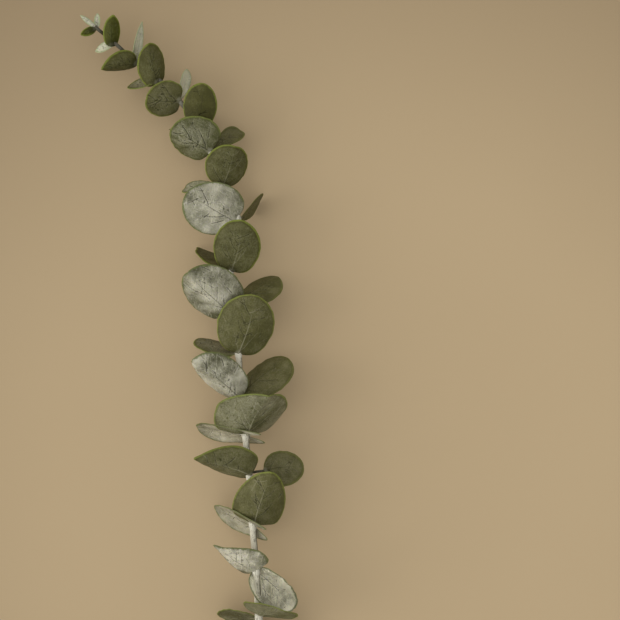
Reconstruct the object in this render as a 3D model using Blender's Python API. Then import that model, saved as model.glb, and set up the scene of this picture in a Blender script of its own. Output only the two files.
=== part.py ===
"""A cut eucalyptus branch, lying down on a table, as one grown piece.

The stem runs along +Y with its growing tip at the far end and its cut end at the near
end. Round leaves sit on it in opposite pairs, and each pair is turned a quarter turn from
the one before it. Leaves above the stem reach up and outwards, leaves below it hang down
to the table, and the lowest of them and the cut end carry the branch.

Lengths in the tables are millimetres, measured from the middle of the view from above,
with +X to the right, +Y to the tip and +Z up from the table.
"""
import math
from collections import namedtuple

import bmesh
import bpy
import numpy as np

MM = 0.001

# Whole branch
CENTRE_SHIFT = (70.15, 55.61, 0.0)  # moves the middle of the branch's box onto the origin
SEED = 11

# Stem
STEM_SIDES = 8
STEM_RING_STEP = 7.0
STEM_FINE_STEP = 1.0
NODE_SWELLING = 0.16
NODE_SWELLING_LENGTH = 3.0
BARE_NODES = (-243.0, -268.0)  # nodes near the cut end that have lost their leaves
CUT_SLANT = 1.6  # the cut end leans over by this much

# Leaf blades
BLADE_THICKNESS = 0.75
BLADE_ROWS = 9
BLADE_COLUMNS = 2
VEIN_SWEEP = 1.6  # how far the side veins lean towards the tip
EDGE_WAVE = 0.55
CUPPING = 0.5  # how much more a half blade turns at its edge than at its midrib

# Where a blade grows out of the stem
ROOT_THICKNESS = 1.7
ROOT_REACH = 0.2  # in leaf lengths
STALK_SIDES = 6
STALK_RADIUS = 0.95
STALK_TIP_RADIUS = 0.65
STALK_END = 0.3  # how far the stalk runs along the midrib
SEATED = 0.8  # a blade that starts this near the stem's middle, in radii, has no stalk

LEAF_COLOUR = (0.21, 0.23, 0.15, 1.0)

StemPoint = namedtuple("StemPoint", "x y z radius")
STEM = [
    StemPoint(-27.0, -291.0, 2.5, 2.45),
    StemPoint(-25.5, -268.0, 5.5, 2.35),
    StemPoint(-27.0, -240.0, 12.0, 2.25),
    StemPoint(-30.0, -212.0, 19.5, 2.2),
    StemPoint(-31.0, -183.0, 25.0, 2.1),
    StemPoint(-32.3, -156.0, 28.0, 2.0),
    StemPoint(-34.5, -128.0, 30.0, 1.95),
    StemPoint(-36.3, -100.0, 31.0, 1.9),
    StemPoint(-38.8, -74.5, 31.0, 1.9),
    StemPoint(-42.0, -50.5, 30.5, 1.85),
    StemPoint(-43.0, -26.0, 29.5, 1.8),
    StemPoint(-50.0, 1.5, 28.0, 1.75),
    StemPoint(-47.5, 24.5, 27.0, 1.7),
    StemPoint(-43.3, 55.0, 26.0, 1.6),
    StemPoint(-52.5, 77.0, 25.0, 1.55),
    StemPoint(-59.5, 94.5, 24.0, 1.5),
    StemPoint(-67.8, 111.0, 23.0, 1.4),
    StemPoint(-78.5, 126.0, 22.0, 1.3),
    StemPoint(-90.0, 138.0, 21.0, 1.2),
    StemPoint(-104.0, 148.5, 20.0, 1.05),
    StemPoint(-116.2, 160.0, 19.0, 0.95),
    StemPoint(-129.8, 171.4, 18.0, 0.85),
]

# Each leaf: where its blade starts, whether it is above (+1) or below (-1) the stem, the way
# it points as seen from above (heading, degrees clockwise from +Y), how steeply it rises
# (lift), its length and half width, how far its halves fold towards (+) or away from (-)
# the viewer, its roll about the midrib, and the form of its outline: how far the lobes at
# the base reach back, how drawn out the tip is, how full the base is, how it tapers and how
# far its right half sits ahead of its left half (lean).
Leaf = namedtuple(
    "Leaf",
    "x y side heading lift length half fold roll lobe point fullness taper lean",
    defaults=(0.0, 0.0),
)
UP = 1
DOWN = -1
LEAVES = [
    Leaf(-30.6, -213.0, UP, -62, 28, 34.0, 17.0, -14, -34, 0.06, 0.03, 0.88),
    Leaf(-29.4, -214.0, DOWN, 78, -34, 34.0, 16.0, 8, 40, 0.05, 0.02, 0.9),
    Leaf(-30.6, -183.6, UP, 62, 58, 32.0, 16.6, -6, 44, 0.04, 0.03, 0.9),
    Leaf(-31.4, -186.0, DOWN, -102, -40, 28.6, 16.0, 8, -46, 0.06, 0.0, 0.9),
    Leaf(-33.6, -156.6, UP, -53, 25, 27.0, 15.5, -12, -48, 0.12, 0.20, 0.78, 0.6, 0.06),
    Leaf(-34.0, -156.0, DOWN, 138, -20, 37.0, 14.2, 35, 0, 0.04, 0.03, 0.9),
    Leaf(-33.5, -128.0, UP, 19, 25, 37.2, 17.0, -20, 8, 0.06, 0.02, 0.66, 0.15),
    Leaf(-34.2, -129.6, DOWN, -70, -36, 31.0, 12.5, 10, -52, 0.46, 0.04, 1.15, 0.45, -0.08),
    Leaf(-35.2, -98.6, UP, -72, 18, 34.8, 15.2, -24, -40, 0.07, 0.06, 0.82, 0.45),
    Leaf(-27.6, -96.4, DOWN, 87, -18, 25.0, 10.9, 10, -12, 0.0, 0.0, 0.85),
    Leaf(-37.6, -74.6, UP, 29, 36, 34.0, 24.0, -22, 30, 0.18, 0.01, 0.8, 0.25, 0.09),
    Leaf(-37.8, -75.2, DOWN, -84, -28, 36.0, 11.5, 6, -58, 0.38, -0.02, 1.1, 0.2, -0.05),
    Leaf(-41.8, -52.4, UP, -51, 18, 37.0, 15.8, -27, -31, 0.07, 0.02, 0.88, 0.25, 0.08),
    Leaf(-41.4, -50.6, DOWN, 54, -14, 36.6, 14.4, -8, -45, 0.03, 0.0, 1.12),
    Leaf(-43.0, -26.0, UP, 17, 16, 37.0, 17.8, -14, 8, 0.04, 0.02, 0.92),
    Leaf(-44.2, -26.4, DOWN, -70, -38, 33.0, 13.0, -4, 70, 0.05, 0.0, 0.88),
    Leaf(-49.2, -0.4, UP, -46, 22, 35.0, 18.2, -20, -20, 0.09, 0.0, 0.76),
    Leaf(-46.8, 2.0, DOWN, 57, -19, 35.0, 12.2, -10, -48, 0.0, 0.0, 1.2),
    Leaf(-47.2, 23.4, UP, 13, 20, 32.0, 14.4, -10, -2, 0.04, 0.02, 0.92),
    Leaf(-47.8, 24.6, DOWN, -57, -44, 33.0, 12.0, 0, 68, 0.05, 0.1, 0.8),
    Leaf(-45.6, 53.4, UP, -58, 14, 33.0, 16.8, -8, -3, 0.03, 0.01, 0.85, 0.0, -0.08),
    Leaf(-42.2, 54.8, DOWN, 41, -54, 30.0, 8.6, 3, 78, 0.0, -0.02, 1.5),
    Leaf(-52.8, 74.8, UP, 20, 22, 26.0, 14.2, -20, 22, 0.04, 0.0, 0.92),
    Leaf(-53.0, 75.6, DOWN, -93, -25, 27.0, 6.8, 4, 54, 0.0, -0.03, 1.8),
    Leaf(-60.0, 96.0, UP, -58, 20, 27.4, 15.8, -14, -31, 0.05, 0.0, 0.80),
    Leaf(-59.8, 95.8, DOWN, 51, -24, 24.8, 7.0, 8, -32, 0.0, -0.02, 1.7),
    Leaf(-67.8, 111.0, UP, 8, 18, 26.0, 10.3, -10, 2, 0.04, 0.01, 0.92),
    Leaf(-68.4, 111.0, DOWN, -82, -58, 26.0, 11.0, 10, 60, 0.05, 0.02, 0.9),
    Leaf(-78.6, 126.6, UP, -90, 20, 21.0, 11.8, -17, -19, 0.08, 0.0, 0.84, 0.0, -0.08),
    Leaf(-79.6, 127.2, DOWN, 14, -30, 23.5, 4.7, 8, 56, 0.0, 0.0, 1.3),
    Leaf(-92.4, 137.6, UP, -12, 18, 23.5, 9.9, -22, 22, 0.08, 0.02, 0.92, 0.0, 0.08),
    Leaf(-92.0, 139.2, DOWN, -96, -28, 22.0, 6.8, 5, 54, 0.0, 0.02, 1.0),
    Leaf(-105.0, 149.4, UP, -103, 20, 21.0, 9.2, -28, -50, 0.04, 0.06, 0.88, 0.3),
    Leaf(-106.6, 149.6, DOWN, 8, -16, 26.4, 3.9, 8, 50, 0.0, 0.08, 0.85, 0.35),
    Leaf(-120.4, 160.2, UP, 6, 18, 17.8, 5.6, -20, 20, 0.04, 0.05, 0.92),
    Leaf(-119.0, 162.0, DOWN, -107, -25, 13.4, 4.0, 10, 36, 0.03, 0.06, 0.92),
    Leaf(-130.2, 171.4, UP, -118, 15, 9.5, 2.6, -15, 0, 0.0, 0.08, 0.95),
    Leaf(-129.6, 171.6, DOWN, 0, -15, 9.0, 1.9, 15, 0, 0.0, 0.08, 0.95),
    Leaf(-130.4, 172.0, UP, -53, 10, 10.5, 1.5, -10, 0, 0.0, 0.08, 0.95),
]
SMALL_LEAF = 12.0  # shorter leaves get fewer facets
SMALL_ROWS = 5


def clear_scene():
    for scene_object in list(bpy.data.objects):
        bpy.data.objects.remove(scene_object, do_unlink=True)


def rest_on_table(heights, half_thickness):
    """Bend what would pass below the table into a flat spot on it."""
    blend = 0.8
    above = heights - half_thickness
    eased = (above + blend) ** 2 / (4 * blend)
    settled = np.where(above > blend, above, np.where(above < -blend, 0.0, eased))
    return settled + half_thickness


# Stem

def smooth_path(points, step):
    """Catmull-Rom curve through the rows of points, with rings about a step apart."""
    padded = np.vstack([2 * points[0] - points[1], points, 2 * points[-1] - points[-2]])
    rows = []
    for index in range(len(points) - 1):
        before, start, end, after = padded[index : index + 4]
        count = max(2, round(np.linalg.norm((end - start)[:3]) / step))
        for part in np.arange(count) / count:
            cubic = 3 * start - 3 * end + after - before
            square = 2 * before - 5 * start + 4 * end - after
            linear = end - before
            rows.append(0.5 * (2 * start + linear * part + square * part**2 + cubic * part**3))
    rows.append(points[-1])
    return np.array(rows)


def nearest_stem_point(path, place):
    return path[np.argmin(np.linalg.norm(path[:, :3] - place, axis=1))]


def ring_frame(direction):
    """Two directions square to a tube's direction, the second one mostly upwards."""
    upright = (0.0, 0.0, 1.0)
    side = np.cross(direction, upright)
    side = side / np.linalg.norm(side)
    return side, np.cross(side, direction)


def tube(path, radii, sides):
    """Closed tube with flat ends round a row of points."""
    directions = np.gradient(path, axis=0)
    vertices = []
    for place, direction, radius in zip(path, directions, radii):
        side, up = ring_frame(direction / np.linalg.norm(direction))
        for angle in np.arange(sides) * 2 * math.pi / sides:
            vertices.append(place + radius * (math.cos(angle) * side + math.sin(angle) * up))
    faces = [tuple(range(sides))]
    for ring in range(len(path) - 1):
        for corner in range(sides):
            after = (corner + 1) % sides
            low = ring * sides
            high = low + sides
            faces.append((low + corner, high + corner, high + after, low + after))
    last = (len(path) - 1) * sides
    faces.append(tuple(last + corner for corner in reversed(range(sides))))
    return np.array(vertices), faces


def stem_shape():
    path = smooth_path(np.array(STEM), STEM_RING_STEP)
    radii = path[:, 3].copy()
    for node in [leaf.y for leaf in LEAVES] + 2 * list(BARE_NODES):
        away = np.abs(path[:, 1] - node)
        radii *= 1 + NODE_SWELLING / 2 * np.exp(-((away / NODE_SWELLING_LENGTH) ** 2))
    vertices, faces = tube(path[:, :3], radii, STEM_SIDES)
    cut_end = vertices[:STEM_SIDES]
    cut_end[:, 1] += CUT_SLANT * (cut_end[:, 2] - STEM[0].z) / STEM[0].radius
    vertices[:, 2] = np.maximum(vertices[:, 2], 0.0)
    return vertices, faces


# Leaves

def leaf_axes(leaf):
    """Along the midrib, across the blade to the right, and out of its face."""
    heading, lift, roll = (math.radians(v) for v in (leaf.heading, leaf.lift, leaf.roll))
    east, north = math.sin(heading), math.cos(heading)
    along = np.array([east * math.cos(lift), north * math.cos(lift), math.sin(lift)])
    face = np.array([-east * math.sin(lift), -north * math.sin(lift), math.cos(lift)])
    across = np.cross(along, face)
    rolled_face = face * math.cos(roll) + across * math.sin(roll)
    rolled_across = across * math.cos(roll) - face * math.sin(roll)
    return along, rolled_across, rolled_face


def outline(leaf, part, side):
    """Edge of a half blade from its base (part 0) to its tip (part 1), in leaf lengths
    along the midrib and half widths away from it."""
    away = np.abs(np.sin(math.pi * part**leaf.fullness)) ** 0.97
    away = away * (1 - leaf.taper * part) / (1 - 0.35 * leaf.taper)
    along = (1 - np.cos(math.pi * part)) / 2
    along = along - leaf.lobe * np.sin(math.pi * np.clip(part / 0.36, 0, 1)) ** 1.5
    along = along + leaf.point * np.exp(-(((1 - part) / 0.08) ** 2))
    along = along + leaf.lean * side * away
    return along, away


def blade_point(leaf, part, column, side, phase):
    """Place on a blade's middle surface. Column is 0 on the midrib and 1 at the edge."""
    edge_along, edge_away = outline(leaf, part, side)
    vein_start = part**VEIN_SWEEP * (1 + leaf.point)
    along = (vein_start + (edge_along - vein_start) * column**1.15) * leaf.length
    away = edge_away * column * leaf.half
    turn = np.radians(leaf.fold) * (1 + CUPPING * (column - 0.5))
    wave = EDGE_WAVE * leaf.half / 16.0 * np.sin(2.6 * math.pi * part + phase + side)
    rise = away * np.sin(turn) + wave * column**2 * np.sin(math.pi * part)
    axes = leaf_axes(leaf)
    return (
        np.multiply.outer(along, axes[0])
        + np.multiply.outer(side * away * np.cos(turn), axes[1])
        + np.multiply.outer(rise, axes[2])
    )


def blade_base(leaf, path):
    stem = path[np.argmin(np.abs(path[:, 1] - leaf.y))]
    return np.array([leaf.x, leaf.y, stem[2] + leaf.side * 0.7 * stem[3]])


def blade_surface(leaf, base, rows, columns, phase):
    """Points of the middle surface and its triangles, alike for both faces."""
    points = [base, base + blade_point(leaf, 1.0, 0.0, 1, phase)]
    grid = []
    for row in range(1, rows):
        part = row / rows
        line = []
        for step in range(-columns, columns + 1):
            side = -1 if step < 0 else 1
            column = abs(step) / columns
            line.append(len(points))
            points.append(base + blade_point(leaf, part, column, side, phase))
        grid.append(line)
    width = 2 * columns
    triangles = [(0, grid[0][c + 1], grid[0][c]) for c in range(width)]
    triangles += [(1, grid[-1][c], grid[-1][c + 1]) for c in range(width)]
    for low, high in zip(grid, grid[1:]):
        for c in range(width):
            if c < columns:
                triangles.append((low[c], low[c + 1], high[c]))
                triangles.append((low[c + 1], high[c + 1], high[c]))
            else:
                triangles.append((low[c], low[c + 1], high[c + 1]))
                triangles.append((low[c], high[c + 1], high[c]))
    left = [line[0] for line in grid]
    right = [line[-1] for line in grid]
    rim = [0] + right + [1] + left[::-1]
    return np.array(points), triangles, rim


def surface_normals(points, triangles):
    normals = np.zeros_like(points)
    for corners in triangles:
        a, b, c = (points[corner] for corner in corners)
        normals[list(corners)] += np.cross(b - a, c - a)
    return normals / np.linalg.norm(normals, axis=1, keepdims=True)


def blade_thickness(rows, columns):
    """Thickness at each point of a blade: thick where it is rooted, thin elsewhere."""
    extra = ROOT_THICKNESS - BLADE_THICKNESS
    thickness = [ROOT_THICKNESS, BLADE_THICKNESS]
    for row in range(1, rows):
        fade = math.exp(-((row / rows / ROOT_REACH) ** 2))
        for step in range(-columns, columns + 1):
            thickness.append(BLADE_THICKNESS + extra * fade * (1 - abs(step) / columns))
    return np.array(thickness)


def blade_shape(leaf, path, phase):
    """Closed thin blade: the middle surface raised and lowered by half its thickness."""
    rows = SMALL_ROWS if leaf.length < SMALL_LEAF else BLADE_ROWS
    base = blade_base(leaf, path)
    points, triangles, rim = blade_surface(leaf, base, rows, BLADE_COLUMNS, phase)
    points[:, 2] = rest_on_table(points[:, 2], BLADE_THICKNESS / 2)
    half = surface_normals(points, triangles)
    half *= blade_thickness(rows, BLADE_COLUMNS)[:, None] / 2
    count = len(points)
    vertices = np.vstack([points + half, points - half])
    vertices[:, 2] = np.maximum(vertices[:, 2], 0.0)
    faces = list(triangles)
    faces += [(a + count, c + count, b + count) for a, b, c in triangles]
    for here, after in zip(rim, rim[1:] + rim[:1]):
        faces.append((after, here, here + count))
        faces.append((after, here + count, after + count))
    return vertices, faces


def has_stalk(leaf, path):
    base = blade_base(leaf, path)
    stem = nearest_stem_point(path, base)
    return np.linalg.norm(base - stem[:3]) > SEATED * stem[3]


def stalk_shape(leaf, path):
    """Short stalk from the middle of the stem into a blade that stands off it."""
    base = blade_base(leaf, path)
    stem = nearest_stem_point(path, base)
    inside_blade = base + blade_point(leaf, STALK_END, 0.0, 1, 0.0)
    radius = min(STALK_RADIUS, 0.75 * stem[3])
    centre = np.vstack([stem[:3], inside_blade])
    radii = (radius, min(STALK_TIP_RADIUS, 0.7 * radius))
    if np.linalg.norm(base - stem[:3]) > 2 * stem[3]:
        centre = np.insert(centre, 1, base, axis=0)
        radii = (radius, radius, radii[1])
    return tube(centre, radii, STALK_SIDES)


# Putting the branch together

def solid_object(name, vertices, faces, collection):
    mesh = bpy.data.meshes.new(name)
    places = (vertices + np.array(CENTRE_SHIFT)) * MM
    mesh.from_pydata(places.tolist(), [], faces)
    editable = bmesh.new()
    editable.from_mesh(mesh)
    bmesh.ops.triangulate(editable, faces=[f for f in editable.faces if len(f.verts) > 3])
    bmesh.ops.recalc_face_normals(editable, faces=editable.faces)
    editable.to_mesh(mesh)
    editable.free()
    new_object = bpy.data.objects.new(name, mesh)
    collection.objects.link(new_object)
    return new_object


def leaf_material():
    material = bpy.data.materials.new("waxy_leaf")
    material.use_nodes = True
    shader = material.node_tree.nodes["Principled BSDF"]
    shader.inputs["Base Color"].default_value = LEAF_COLOUR
    shader.inputs["Roughness"].default_value = 0.62
    shader.inputs["Metallic"].default_value = 0.0
    return material


def grow_branch():
    draw = np.random.default_rng(SEED)
    scene_collection = bpy.context.scene.collection
    foliage = bpy.data.collections.new("foliage")
    scene_collection.children.link(foliage)
    path = smooth_path(np.array(STEM), STEM_FINE_STEP)
    for number, leaf in enumerate(LEAVES):
        phase = draw.uniform(0, 2 * math.pi)
        solid_object(f"blade_{number}", *blade_shape(leaf, path, phase), foliage)
        if has_stalk(leaf, path):
            solid_object(f"stalk_{number}", *stalk_shape(leaf, path), foliage)
    branch = solid_object("leafy_stem", *stem_shape(), scene_collection)
    join_all(branch, foliage)
    branch.data.materials.clear()
    branch.data.materials.append(leaf_material())
    branch.data.shade_smooth()
    branch.data.set_sharp_from_angle(angle=math.radians(50))


def join_all(branch, foliage):
    """Fuse the stem and everything in the collection into one solid."""
    union = branch.modifiers.new("grown_together", "BOOLEAN")
    union.operation = "UNION"
    union.operand_type = "COLLECTION"
    union.collection = foliage
    union.solver = "EXACT"
    joined = branch.evaluated_get(bpy.context.evaluated_depsgraph_get())
    mesh = bpy.data.meshes.new_from_object(joined)
    branch.modifiers.clear()
    branch.data = mesh
    for piece in list(foliage.objects):
        bpy.data.objects.remove(piece, do_unlink=True)
    bpy.data.collections.remove(foliage)


clear_scene()
grow_branch()
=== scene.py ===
"""Fine surfaces and materials for a cut eucalyptus branch that lies on a table.

Lengths are millimetres, measured from the middle of the photograph's view, with +X to the
right, +Y towards the growing tip and +Z up from the table. The camera, the floor and the
bumps of the materials are in metres.
"""

import math
from collections import namedtuple

import bmesh
import bpy
import numpy as np
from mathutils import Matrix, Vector


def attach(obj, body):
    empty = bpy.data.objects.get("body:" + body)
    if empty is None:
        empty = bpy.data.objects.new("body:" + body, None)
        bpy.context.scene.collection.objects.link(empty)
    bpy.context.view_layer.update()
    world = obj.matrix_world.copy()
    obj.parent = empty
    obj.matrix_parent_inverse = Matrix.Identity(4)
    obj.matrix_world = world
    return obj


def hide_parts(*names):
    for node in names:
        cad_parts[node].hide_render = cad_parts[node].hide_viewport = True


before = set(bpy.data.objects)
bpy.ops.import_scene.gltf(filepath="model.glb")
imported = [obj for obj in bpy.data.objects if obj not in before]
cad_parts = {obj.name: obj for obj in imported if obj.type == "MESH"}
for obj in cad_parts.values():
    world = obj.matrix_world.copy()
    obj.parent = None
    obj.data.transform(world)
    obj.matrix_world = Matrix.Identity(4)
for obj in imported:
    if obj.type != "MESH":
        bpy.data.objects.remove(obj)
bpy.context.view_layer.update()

MM = 0.001

# Whole branch
CENTRE_SHIFT = (70.15, 55.61, 0.0)  # moves the middle of the branch's box onto the origin
SEED = 11  # for the waves of the leaf edges, as in the solid model
LOOK_SEED = 5  # for all finer details

# Stem
STEM_SIDES = 32
STEM_RING_STEP = 0.8
NODE_SWELLING = 0.16
NODE_SWELLING_LENGTH = 3.0
COLLAR_REACH = 3.2  # of the pale bark at a pair of leaves
BARE_NODES = (-243.0, -268.0)  # nodes near the cut end that have lost their leaves
DUSKY_FROM = 40.0  # the Y value from which the bark darkens
DUSKY_RANGE = 100.0
FURROW_WAVES = (3, 5, 7, 9, 11)  # counts round the stem
FURROW_DRIFTS = (5, 9, 17)  # how often they sway
FURROW_SWAY = 1.2  # in radians
FURROW_DEPTH = 0.02  # in radii
KNOT_DEPTH = 0.035
SCAR_HEIGHT = 0.3
SCAR_LENGTH = 1.3
SCAR_TURN = 0.55  # half its angle round the stem, in radians
CUT_SLANT = 1.6  # the cut end leans over by this much
CUT_RINGS = ((0.88, 0.0), (0.8, 0.12), (0.3, 0.05), (0.16, 0.2))  # scales and depths
PITH_DEPTH = 0.22
BUD_RINGS = ((0.5, 1.15), (1.2, 1.0), (1.9, 0.6), (2.4, 0.25))  # distances and scales
BUD_LENGTH = 2.7
BARK, WOOD = 0, 1  # material slots of the stem

# Leaf outlines
OUTLINE_ROUNDNESS = 0.97
TAPER_BALANCE = 0.35  # keeps a tapered leaf as wide
LOBE_END = 0.36  # share of the edge
POINT_REACH = 0.08  # share of the edge
VEIN_SWEEP = 1.6  # how far the side veins lean towards the tip
VEIN_BOW = 1.15
EDGE_WAVE = 0.55
EDGE_TURNS = 2.6  # half waves from base to tip
CUPPING = 0.5  # how much more a half blade turns at its edge than at its midrib
BASE_OFFSET = 0.7  # of a blade's start from the stem's middle, in radii
SEATED = 0.8  # a blade that starts this near the stem's middle, in radii, has no stalk

# Blade surfaces
MEDIUM_HALF_WIDTH = 16.0  # details are scaled from a leaf of this half width
BLADE_THICKNESS = 0.62
RIM_THICKNESS = 0.42
RIM_TAPER = 1.6  # the blade is thinner this near its edge
ROOT_THICKNESS = 1.7
ROOT_LENGTH = 4.5
ROOT_WIDTH = 1.1
ROOT_HALF_WIDTH = 12  # narrower leaves have a thinner root
ROW_STEP = 0.42
COLUMN_STEP = 0.55
COLUMN_EASE = 0.85  # below 1, columns are closer near the edge
FOLD_SOFTNESS = 1.6
EDGE_RIPPLES = (3, 5, 8)  # wave counts from base to tip
EDGE_RIPPLE_SIZE = 0.006  # in half widths
RUFFLES = (4, 6, 9)  # wave counts from base to tip
RUFFLE_HEIGHT = 0.13
HILL_LENGTHS = (7.0, 9.0, 12.0, 16.0, 23.0)
PUFF_REACH = 3.0  # from a vein
RIB_FLAT = 2.0  # the blade puffs up less this near its midrib
RIB_WIDTH = 0.4
RIB_BEND = (0.02, 0.05)  # least and most, in leaf lengths

# Veins and creases
LINE_PARTS = 5
FIRST_VEIN = (0.03, 0.14)  # from the base, in leaf lengths
VEIN_SPACING = (0.10, 0.27)  # in leaf lengths
LAST_VEIN = 0.8
VEIN_ANGLES = (0.6, 1.0)  # from the midrib, in radians
VEIN_REACH = (0.35, 1.05)  # in half widths
FORKED_VEINS = 0.55  # share of the side veins
FORK_TURNS = (-0.55, 0.6)
FORK_REACH = 0.5  # of the vein's own reach
CREASE_ANGLES = (-1.5, 1.5)
CREASE_REACH = (0.25, 0.7)  # in half widths
ANGLE_KEPT = (0.82, 1.0)  # share of a line's angle left after each part
LINE_WANDER = 0.08
LINE_STRENGTHS = (0.55, 1.15)
LINE_THINNING = 0.9
GROOVED_LINES = 0.68  # share of the veins and creases, the others are ridges
GROOVE_DEPTH = 0.20
GROOVE_WIDTH = 0.45
RIDGE_HEIGHT = 0.6  # in groove depths
RIDGE_WIDTH = 0.5
PRICKED_LEAVES = 0.6  # share of the leaves that are not small
PINPRICK_LENGTH = 0.9
PINPRICK_STRENGTH = 2.0
SMALL_HALF_WIDTH = 8.0
FAR = 99.0  # stands for no line at all

# Stalks
STALK_SIDES = 14
STALK_RING_STEP = 0.5
STALK_RADIUS = 0.95
STALK_SHARE = 0.75  # its largest radius, in radii of the stem
STALK_TIP_RADIUS = 0.3
STALK_END = 0.3  # how far the stalk runs along the midrib
LONG_STALK = 2.0  # in radii of the stem

# View, floor and light
CAMERA_HEIGHT = 0.908
LENS = 85.0
SENSOR = 36.0
FLOOR_REACH = 7.0
FLOOR_DROP = 0.0003
LIGHT_POOL_CENTRE = (0.100, -0.060, 0.0)  # the middle of a pool of light painted on the floor, which darkens away from here
LIGHT_POOL_RANGE = (0.16, 0.46)
WORLD_COLOUR = (1.0, 0.985, 0.95, 1.0)
WORLD_STRENGTH = 0.62
SUN_COLOUR = (1.0, 0.98, 0.94)
KEY_SUN = ((-0.6, 0.1, 1.0), 80.0, 0.72)  # where it comes from, its spread and its strength
SIDE_SUN = ((-1.0, -0.1, 0.35), 45.0, 1.15)

# Pale places on a blade
PALE_LINE = (0.38, 0.36, 0.25)
PALE_HEEL = (0.42, 0.405, 0.32)

StemPoint = namedtuple("StemPoint", "x y z radius")
STEM = [StemPoint(*row) for row in (
    (-27.0, -291.0, 2.5, 2.45),
    (-25.5, -268.0, 5.5, 2.35),
    (-27.0, -240.0, 12.0, 2.25),
    (-30.0, -212.0, 19.5, 2.2),
    (-31.0, -183.0, 25.0, 2.1),
    (-32.3, -156.0, 28.0, 2.0),
    (-34.5, -128.0, 30.0, 1.95),
    (-36.3, -100.0, 31.0, 1.9),
    (-38.8, -74.5, 31.0, 1.9),
    (-42.0, -50.5, 30.5, 1.85),
    (-43.0, -26.0, 29.5, 1.8),
    (-50.0, 1.5, 28.0, 1.75),
    (-47.5, 24.5, 27.0, 1.7),
    (-43.3, 55.0, 26.0, 1.6),
    (-52.5, 77.0, 25.0, 1.55),
    (-59.5, 94.5, 24.0, 1.5),
    (-67.8, 111.0, 23.0, 1.4),
    (-78.5, 126.0, 22.0, 1.3),
    (-90.0, 138.0, 21.0, 1.2),
    (-104.0, 148.5, 20.0, 1.05),
    (-116.2, 160.0, 19.0, 0.95),
    (-129.8, 171.4, 18.0, 0.85),
)]

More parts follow.
